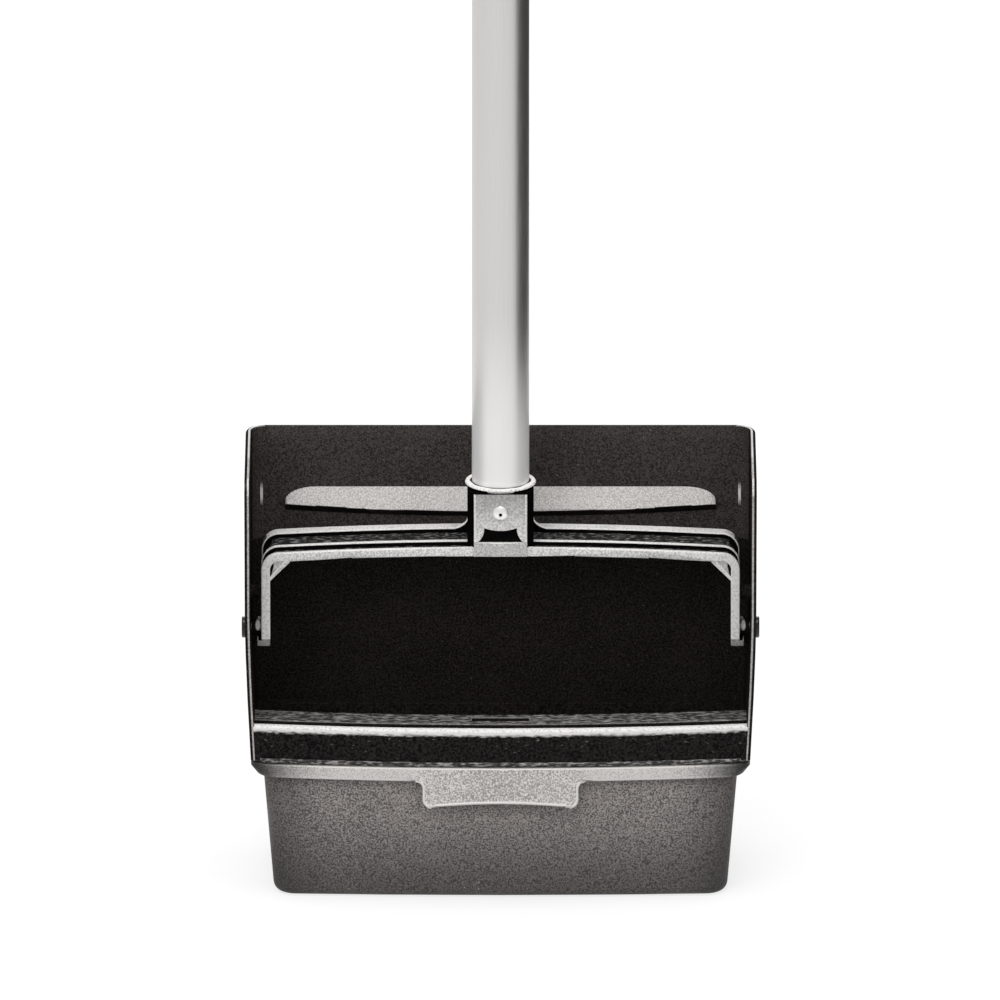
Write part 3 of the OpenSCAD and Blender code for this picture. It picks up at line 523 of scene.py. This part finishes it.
def rounded_copy(node, name, radius, materials, finish, plain=None, cuts=(), broad=None, broad_radius=0):
    """A merged copy of a CAD node with its edges rounded, shown in the node's place.
    finish gives the look of a face at each of its corners.
    plain tells the edges that stay as they are, and broad those that get the broad radius.
    cuts are heights at which faces are split, so that their finish can change there."""
    solid = merged(node, cuts)
    if broad:
        chosen = [edge for edge in solid.edges if edge.is_manifold and broad(edge)]
        bevel(solid, chosen, broad_radius, segments=4)
    surface = BVHTree.FromBMesh(solid)
    shape, rounding = rounded_without_folds(solid, edges_to_round(solid, plain), radius)
    solid.free()
    # Where many edges meet, the rounding can overshoot: such points go back to the moulding's surface
    for vert in shape.verts:
        nearest, _, _, gap = surface.find_nearest(vert.co)
        if gap > radius:
            vert.co = nearest
    shape.normal_update()
    highlight = shape.loops.layers.float.new("highlight")
    dust_and_highlight = shape.loops.layers.float.new("dust_and_highlight")
    for face in shape.faces:
        face.smooth = True
        middle = face.calc_center_median()
        for loop in face.loops:
            material, loop[highlight], loop[dust_and_highlight] = finish(middle, face.normal, face in rounding, loop.vert.co)
        face.material_index = materials.index(material)
    piece = mesh_object(name, shape)
    for material in materials:
        piece.data.materials.append(material)
    even = piece.modifiers.new("Even shading", "WEIGHTED_NORMAL")
    even.keep_sharp = True
    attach(piece, frame["nodes"][node]["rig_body"])
    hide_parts(node)
    return piece


def look(material, highlight=0.0, dust_and_highlight=0.0):
    """What a finish gives: a material, how much highlight is painted on it and how dusty it is, from 0 to
    about 1. Along the sill the dust value carries a painted highlight too
    """
    return material, highlight, dust_and_highlight


def finish_node(node, material):
    """Gives a CAD node that stays in sight its material"""
    mesh = frame["nodes"][node].data
    mesh.materials.clear()
    mesh.materials.append(material)


class DUSTPAN_OT_bin(Operator):
    """Round the bin's edges and give it its textured grey plastic"""
    bl_idname = "dustpan.bin"
    bl_label = "Bin"

    def execute(self, context):
        colours = context.scene.dustpan_finish
        # Spark-textured polypropylene: a speckle, pale specks, and painted shade that darkens it towards the
        # floor and towards the sides.
        # The speckle is drawn coarser than it is, because one of 0.3 mm wouldn't show in the picture
        wall = moulded("Textured grey polypropylene", colours.bin_wall, colours.highlighted, roughness=0.6,
                       grain_mm=0.9, relief=0.35, mottle=0.7, flecks=0.35,
                       painted_shade=(("Z", 66 * MM, 0, 0.3), ("X", 90 * MM, 134 * MM, 0.33)))
        # The rim and the tongue are smoother, and paler than the wall, partly as painted light; painted shade
        # darkens the rim towards its ends
        rim = moulded("Smooth grey polypropylene, painted paler", colours.bin_rim, colours.highlighted, roughness=0.45,
                      grain_mm=0.9, relief=0.15, mottle=0.42, specular=0.15,
                      painted_shade=(("X", 85 * MM, 139 * MM, 0.02),))

        def finish(middle, normal, on_edge, corner):
            side = abs(middle.x)
            if middle.z < RIM_FOOT and middle.y > TONGUE_BACK:
                return look(wall)
            # The tongue leans out and follows the rim's bow, and the bead along its edge stands proud of that
            drop = TONGUE_ROOT - middle.z
            proud = (BOW_Y + middle.x ** 2 / (2 * BOW_R) - middle.y) * math.cos(TONGUE_LEAN)
            proud -= drop * math.sin(TONGUE_LEAN)
            bead = drop > BEAD_DROP and side < TONGUE_HALF and proud > BEAD_PROUD
            strip = drop > STRIP_DROP and side > BESIDE_TONGUE
            top = on_edge and normal.z > 0.3 and normal.y < 0.1
            # Painted highlights along the tongue's bead, on a strip along the rim's foot and on the top
            # edges, and painted light on the rim's face beside the tongue
            if (bead or strip) and normal.y < -0.1 or top:
                return look(rim, highlight=1.2)
            return look(rim, highlight=0.7 if side > BESIDE_TONGUE else 0.0)

        piece = rounded_copy("bin", "waste_bin", context.scene.dustpan_edges.bin_edge, [wall, rim], finish,
                             cuts=[STRIP_TOP])
        return {"FINISHED"}


class DUSTPAN_OT_scoop(Operator):
    """Round the scoop's edges and give it its black plastic"""
    bl_idname = "dustpan.scoop"
    bl_label = "Scoop"

    def execute(self, context):
        colours = context.scene.dustpan_finish
        # Polished ABS: deep black that mirrors what is bright, with smudges that spread the reflections
        gloss = moulded("Glossy black ABS", colours.black, colours.highlighted, roughness=0.2, grain_mm=3.0,
                        relief=0.05, mottle=0.2)
        # The lip and the ramp are ground dull by the sweepings that cross them, in scratches drawn coarse
        # enough to show
        dull = moulded("Scuffed black ABS", colours.scuffed, colours.highlighted, roughness=0.5, grain_mm=0.8,
                       relief=0.3, mottle=0.6, specular=0.1, flecks=0.12)
        # The inside and the edges of the walls are matt, with no shine at all; deep in the scoop this darker,
        # unshining black is painted shade
        matt = moulded("Matt black ABS", colours.matt, colours.highlighted, roughness=0.8, grain_mm=1.0,
                       relief=0.2, mottle=0.6, specular=0, flecks=0.05)
        # The face of the sill is smeared, which takes off most of its shine
        smeared = moulded("Smeared black ABS", colours.smeared, colours.highlight_and_dust, roughness=0.35, grain_mm=1.4,
                          relief=0.1, mottle=0.85, specular=0.05)

        def finish(middle, normal, on_edge, corner):
            side = abs(middle.x)
            steep = abs(normal.x)
            inward = normal.x * middle.x < 0
            ahead = middle.y < SILL_BACK
            lit_and_swept = middle.z > LIT_AND_SWEPT_FROM
            # The sill, with a painted highlight along its top edge and the top of its face, and dust that
            # thins out further down
            if side < SILL_HALF and ahead and FOOT_TOP < middle.z < SILL_TOP + 1 * MM:
                if middle.z > SILL_NOSE and normal.z > 0.1:
                    return look(smeared, highlight=1.0)
                if normal.y < -0.8:
                    drop = (SILL_TOP - corner.z) / MM
                    return look(smeared, dust_and_highlight=0.95 if drop < 2.5 else 0.2 if drop < 5 else 0.1)
            # The foot under the sill, and the ledge behind it: dusty, with a faint painted highlight, and a
            # stronger one along the ledge's edges
            if ahead and middle.z < FOOT_TOP + 0.2 * MM and (normal.y < -0.3 or normal.z > 0.5):
                return look(smeared, highlight=0.04, dust_and_highlight=0.36)
            if side < SILL_HALF and abs(middle.z - LEDGE_TOP) < 0.6 * MM and normal.z > 0.3:
                return look(matt, highlight=0.22 if on_edge else 0.03, dust_and_highlight=0.38)
            # The ramp, with a pale painted reflection on its slope
            if BEND_FRONT < middle.y < PANEL_FACE - 0.2 * MM and side < RAMP_HALF:
                if normal.z > 0.2 and RAMP_CREST - 2 * MM < middle.z < RAMP_TOP + 1 * MM:
                    return look(dull, highlight=0.78)
                return look(matt)
            # The edges of the walls, with painted highlights: their upper corner, their top and their front
            if side > SILL_HALF and middle.z > FOOT_TOP and steep < 0.15:
                if normal.y < -0.1 and normal.z > 0.1 and middle.z > SCOOP_HIGH.z - 10 * MM:
                    return look(matt, highlight=0.9)
                if normal.z > 0.7 and middle.z > SCOOP_HIGH.z - 1 * MM and middle.y < BEND_FRONT:
                    return look(matt, highlight=0.6)
                if normal.y < -0.7 and middle.y < WALL_FRONT + 1 * MM:
                    return look(matt, highlight=0.6)
            # The rounding outside those edges
            if side > SILL_HALF and max(-normal.y, normal.z) > 0.05 and not inward:
                if middle.y < WALL_FRONT + 1.8 * MM or middle.z > SCOOP_HIGH.z - 1.8 * MM:
                    return look(matt)
            # What lies below the ledge, and the stop pegs, in the unshining black that is painted shade
            outside = normal.y > 0.3 and middle.y > PANEL_FACE - 6 * MM
            outside = outside or side > SILL_HALF and steep > 0.5 and not inward
            if middle.z < LEDGE_TOP - 1 * MM and middle.y > WALL_FRONT and not outside:
                return look(matt)
            if PEG_IN < side < PEG_OUT and middle.y < PEG_BACK:
                return look(matt)
            # The bends between the walls and the panel, with a painted glint beside the ramp, and the walls'
            # inside, with painted shade below the lit and swept part
            if inward and 0.2 < steep < 0.38 and middle.y > BEND_FRONT and lit_and_swept:
                return look(dull, highlight=max(0.0, 1.4 - abs(corner.z - GLINT_Z) / (5 * MM)))
            if inward and steep > 0.05:
                return look(dull if steep < 0.9 and lit_and_swept else matt)
            # The panel's face, with painted shade below the lit and swept part
            if middle.y > PANEL_FACE - 0.4 * MM and normal.y < -0.5:
                return look(dull if lit_and_swept else matt)
            # Elsewhere the gloss, with a faint painted highlight on its edges
            return look(gloss, highlight=0.1 if on_edge and normal.z > -0.3 and normal.y < 0.3 else 0.0)

        def outer_rim(edge):
            middle = middle_of(edge)
            out = [face.normal.x * math.copysign(1, middle.x) for face in edge.link_faces]
            turned = [max(-face.normal.y, face.normal.z) for face in edge.link_faces]
            at_wall = abs(middle.x) > SILL_HALF + 1 * MM and middle.z > FOOT_TOP + 1 * MM
            return at_wall and max(out) > 0.8 and min(out) < 0.3 and max(turned) > 0.3

        cuts = [GLINT_Z + GLINT_HALF, GLINT_Z, GLINT_Z - GLINT_HALF, LIT_AND_SWEPT_FROM, SILL_DUST]
        sizes = context.scene.dustpan_edges
        piece = rounded_copy("scoop", "scoop_shell", sizes.scoop_edge, [gloss, dull, matt, smeared], finish,
                             cuts=cuts, broad=outer_rim, broad_radius=sizes.wall_edge)
        for side in ("left", "right"):
            finish_node("pivot_cap_" + side, gloss)
        return {"FINISHED"}


def yoke_skin(place):
    """How far a place lies out from the inside of the yoke's arch and arms"""
    x = abs(place.x)
    if x < CORNER_X:
        return place.z - (UNDERSIDE + math.sqrt(ARCH_R ** 2 - x ** 2) - ARCH_R)
    if place.z > CORNER_Z:
        return math.hypot(x - CORNER_X, place.z - CORNER_Z) - CORNER_R
    return x - ARM_IN


def from_axis(place):
    """How far a place lies from the handle's axis"""
    return math.hypot(place.x, place.y - HANDLE_Y)


class DUSTPAN_OT_yoke(Operator):
    """Round the yoke's edges and give it its glossy black plastic"""
    bl_idname = "dustpan.yoke"
    bl_label = "Yoke"

    def execute(self, context):
        colours = context.scene.dustpan_finish
        # Glass-filled nylon: a black gloss, pale with painted reflections on its face and with painted
        # highlights on the crests of its ribs
        gloss = moulded("Rubbed black nylon", colours.yoke, colours.highlight_and_dust, roughness=0.25, grain_mm=1.0,
                        relief=0.1, mottle=0.2)
        # Between the ribs, on the socket's sides and in its recess, a dull, deeper black is painted shade
        shade_black = moulded("Black nylon with painted shade", colours.black, colours.highlight_and_dust, roughness=0.6, grain_mm=1.0,
                       relief=0.1, mottle=0.3, specular=0)

        def finish(middle, normal, on_edge, corner):
            skin = yoke_skin(middle)
            facing = normal.y < -0.85
            leaning = normal.y < -0.2
            front = middle.y < YOKE_FACE + 0.3 * MM
            socket = abs(middle.x) < SOCKET_HALF and middle.z > BLOCK_TOP + 0.1 * MM
            # The feet of the arms, with a faint painted highlight
            if middle.z < ARM_FOOT and leaning:
                return look(gloss, highlight=0.28)
            # The mouth's flat, black inside and with a painted highlight outside, and its lip, with a painted
            # highlight
            if middle.z > YOKE_HIGH.z - 0.1 * MM:
                return look(shade_black, highlight=1.4 * (from_axis(corner) - MOUTH_BORE) / MM)
            if middle.z > MOUTH_LIP and normal.z > 0.2:
                return look(shade_black, highlight=0.9)
            # The edges of the face, then the face: the socket's facet, the block, the crossbar and the arms,
            # all pale with painted highlights and reflections; on the facet this fades towards the top, as
            # painted shade under the ring
            if on_edge and leaning and middle.y < YOKE_FACE + 0.7 * MM and middle.z < FACET_TOP:
                return look(gloss, highlight=1.0)
            if facing and front and socket:
                low = (YOKE_HIGH.z - corner.z) / FACET_HEIGHT
                return look(gloss, highlight=0.36 + 0.46 * min(1.0, low))
            if facing and front:
                if middle.y < YOKE_FACE - 0.5 * MM:
                    return look(gloss, highlight=0.62)
                return look(gloss, highlight=0.8 if abs(corner.x) < CORNER_X else 1.0)
            # The webs that brace the corners, with a painted reflection
            if facing and middle.y < YOKE_FACE + 1 * MM:
                return look(gloss, highlight=0.6)
            # The socket's sides and recess, in the deeper black of painted shade
            if socket and from_axis(middle) < SOCKET_REACH:
                return look(shade_black)
            # The outer rib, with a painted highlight on top, and what lies between the ribs, whose faces to
            # the front take the deeper black of painted shade
            if on_edge and skin > RIB_CREST and leaning:
                return look(gloss, highlight=1.0)
            if skin > RIB_CREST + 0.3 * MM and abs(normal.y) < 0.85:
                return look(gloss, highlight=0.9 if normal.z > 0.75 else 0.12)
            if facing:
                return look(shade_black)
            if 1 * MM < skin < 3 * MM and normal.z > 0.8:
                return look(shade_black, highlight=0.02, dust_and_highlight=0.3)
            return look(gloss)

        def plain(middle):
            return middle.z > MOUTH_ROLL

        piece = rounded_copy("yoke", "swing_yoke", context.scene.dustpan_edges.yoke_edge, [gloss, shade_black],
                             finish, plain, cuts=[ARM_FOOT])
        return {"FINISHED"}


class DUSTPAN_OT_handle(Operator):
    """Finish the tube, its grip and its hanging cap"""
    bl_idname = "dustpan.handle"
    bl_label = "Handle"

    def execute(self, context):
        colours = context.scene.dustpan_finish
        # Anodised aluminium: a satin sheen drawn out along the tube, painted pale and less metallic near the
        # socket as painted light
        tube = metal("Satin anodised aluminium", colours.tube, roughness=0.38, stretch=(1, 1, 0.02),
                     painted_glare=(colours.rivet, YOKE_HIGH.z + 25 * MM, YOKE_HIGH.z + 110 * MM))
        finish_node("handle_tube", tube)
        # Dipped vinyl: soft and matt, with a fine pebble
        vinyl = moulded("Black vinyl", colours.vinyl, colours.highlighted, roughness=0.6, grain_mm=0.6,
                        relief=0.2, mottle=0.2)
        finish_node("hand_grip", vinyl)

        def finish(middle, normal, on_edge, corner):
            # A faint painted highlight on the cap's rounded edges
            return look(vinyl, highlight=0.03 if on_edge else 0.0)

        piece = rounded_copy("hanger_cap", "hanging_cap", context.scene.dustpan_edges.cap_edge, [vinyl],
                             finish)
        return {"FINISHED"}


class DUSTPAN_OT_fixings(Operator):
    """Finish the rivet, the pivot pins and their spacers"""
    bl_idname = "dustpan.fixings"
    bl_label = "Fixings"

    def execute(self, context):
        colours = context.scene.dustpan_finish
        # Bare aluminium, bright from the setting tool
        bright = metal("Bright aluminium", colours.rivet, roughness=0.35, stretch=(1, 1, 1))
        finish_node("socket_rivet", bright)
        # The stem's broken end lies down in the rivet's bore, and its dark tone is painted shade
        dark = metal("Shaded steel", colours.stem, roughness=0.6, stretch=(1, 1, 1))
        finish_node("rivet_stem", dark)
        # Zinc plating: a bright grey with lines along the pin
        steel = metal("Zinc-plated steel", colours.steel, roughness=0.3, stretch=(0.05, 1, 1))
        # Natural nylon under a film of grease, with a highlight painted in the middle
        middle = (SPACER_LOW + SPACER_HIGH) / 2
        nylon = moulded("Greasy natural nylon", colours.grease, colours.nylon, roughness=0.45, grain_mm=1.0,
                        relief=0.05, mottle=0.1, specular=0,
                        highlight_spot=(middle.x - 1 * MM, middle.z + 2.2 * MM, 1.6 * MM, 3.2 * MM))
        for side in ("left", "right"):
            finish_node("pivot_pin_" + side, steel)
            finish_node("pivot_spacer_" + side, nylon)
        return {"FINISHED"}


def stage_sheet(name, matrix):
    """A flat square of the stage, two metres wide before the matrix places it"""
    shape = bmesh.new()
    bmesh.ops.create_grid(shape, x_segments=1, y_segments=1, size=1, matrix=matrix)
    sheet = mesh_object(name, shape)
    return sheet


def seen(tree):
    """Whether the camera sees a place, by itself or in something shiny or clear"""
    path = add(tree, "ShaderNodeLightPath")
    shown = add(tree, "ShaderNodeMath", {0: path.outputs["Is Camera Ray"], 1: path.outputs["Is Glossy Ray"]},
                operation="MAXIMUM")
    return add(tree, "ShaderNodeMath", {0: shown.outputs[0], 1: path.outputs["Is Transmission Ray"]},
               operation="MAXIMUM")


def white_floor():
    """A matt grey floor with a soft shadow, which glows to white where it is seen"""
    floor = stage_sheet("floor", Matrix.Scale(FLOOR_HALF, 4))
    material, tree = new_material("White floor")
    matt = add(tree, "ShaderNodeBsdfDiffuse", {"Color": linear("#9a9a9a")})
    level = add(tree, "ShaderNodeMath", {0: seen(tree).outputs[0], 1: FLOOR_GLOW}, operation="MULTIPLY")
    glow = add(tree, "ShaderNodeEmission", {"Strength": level.outputs[0]})
    both = add(tree, "ShaderNodeAddShader", {0: matt.outputs[0], 1: glow.outputs[0]})
    add(tree, "ShaderNodeOutputMaterial", {"Surface": both.outputs[0]})
    floor.data.materials.append(material)


def black_card():
    """A card beside the object, which darkens one side of what is shiny"""
    card = stage_sheet("card", Matrix.Translation((0.55, 0.75, 0.6)) @ Matrix.Rotation(math.pi / 2, 4, "Y")
                       @ Matrix.Diagonal((0.6, 1.0, 1, 1)))
    material, tree = new_material("Black card")
    matt = add(tree, "ShaderNodeBsdfDiffuse", {"Color": linear("#080808")})
    add(tree, "ShaderNodeOutputMaterial", {"Surface": matt.outputs[0]})
    card.data.materials.append(material)
    card.visible_camera = False
    card.visible_diffuse = False
    card.visible_shadow = False


def white_world(fill):
    """Even light from all round, and white where it is seen"""
    world = bpy.data.worlds.new("Studio")
    bpy.context.scene.world = world
    world.use_nodes = True
    tree = world.node_tree
    tree.nodes.clear()
    level = add(tree, "ShaderNodeMapRange", {"Value": seen(tree).outputs[0], "To Min": fill, "To Max": 1.0})
    sky = add(tree, "ShaderNodeBackground", {"Strength": level.outputs[0]})
    add(tree, "ShaderNodeOutputWorld", {"Surface": sky.outputs[0]})


def soft_lamp(name, width, height, radiance, place):
    """A flat lamp of that size and radiance, turned to face the part"""
    light = bpy.data.lights.new(name, "AREA")
    light.shape = "RECTANGLE"
    light.size = width
    light.size_y = height
    light.energy = radiance * math.pi * width * height
    lamp = new_object(name, light)
    lamp.location = place
    lamp.rotation_euler = (Vector(LAMPS_AIM) - Vector(place)).to_track_quat("-Z", "Y").to_euler()
    lamp.visible_camera = False
    return lamp


def aimed_camera(studio):
    """The scene's camera, far off with a long lens"""
    camera = new_object("Camera", bpy.data.cameras.new("Camera"))
    camera.data.lens = studio.lens
    camera.data.sensor_width = SENSOR_MM
    away = Vector((0, -math.cos(studio.elevation), math.sin(studio.elevation)))
    camera.location = Vector(studio.aim) + away * studio.distance
    camera.rotation_euler = (-away).to_track_quat("-Z", "Y").to_euler()
    bpy.context.scene.camera = camera


class DUSTPAN_OT_studio(Operator):
    """Make the pale floor, the lamps and the camera"""
    bl_idname = "dustpan.studio"
    bl_label = "Studio"

    def execute(self, context):
        studio = context.scene.dustpan_studio
        context.scene.view_settings.view_transform = "Standard"
        white_floor()
        black_card()
        white_world(studio.fill)
        key = soft_lamp("Key", width=1.4, height=0.8, radiance=studio.key, place=(-0.5, -1.7, 1.2))
        key.visible_glossy = False
        soft_lamp("Over", width=1.0, height=1.0, radiance=studio.over, place=(0, -0.35, 2.2))
        soft_lamp("Back", width=1.6, height=0.7, radiance=studio.back, place=(0, 2.0, 0.85))
        aimed_camera(studio)
        return {"FINISHED"}


class DUSTPAN_PT_pieces(Panel):
    """Buttons for each group of pieces"""
    bl_idname = "DUSTPAN_PT_pieces"
    bl_label = "Lobby dustpan"
    bl_space_type = "VIEW_3D"
    bl_region_type = "UI"
    bl_category = "Dustpan"

    def draw(self, context):
        for operator in OPERATORS:
            self.layout.operator(operator.bl_idname)
        for group in GROUPS:
            settings = getattr(context.scene, group)
            for name in settings.__annotations__:
                self.layout.prop(settings, name)


OPERATORS = (DUSTPAN_OT_studio, DUSTPAN_OT_bin, DUSTPAN_OT_scoop, DUSTPAN_OT_yoke, DUSTPAN_OT_handle,
             DUSTPAN_OT_fixings)
GROUPS = {"dustpan_finish": DustpanFinish, "dustpan_edges": DustpanEdges, "dustpan_studio": DustpanStudio}
CLASSES = (*GROUPS.values(), *OPERATORS, DUSTPAN_PT_pieces)


def register():
    for cls in CLASSES:
        bpy.utils.register_class(cls)
    for name, group in GROUPS.items():
        setattr(bpy.types.Scene, name, PointerProperty(type=group))


def unregister():
    for name in GROUPS:
        delattr(bpy.types.Scene, name)
    for cls in reversed(CLASSES):
        bpy.utils.unregister_class(cls)


def main():
    register()
    bpy.ops.dustpan.studio()
    bpy.ops.dustpan.bin()
    bpy.ops.dustpan.scoop()
    bpy.ops.dustpan.yoke()
    bpy.ops.dustpan.handle()
    bpy.ops.dustpan.fixings()


if __name__ == "__main__":
    main()
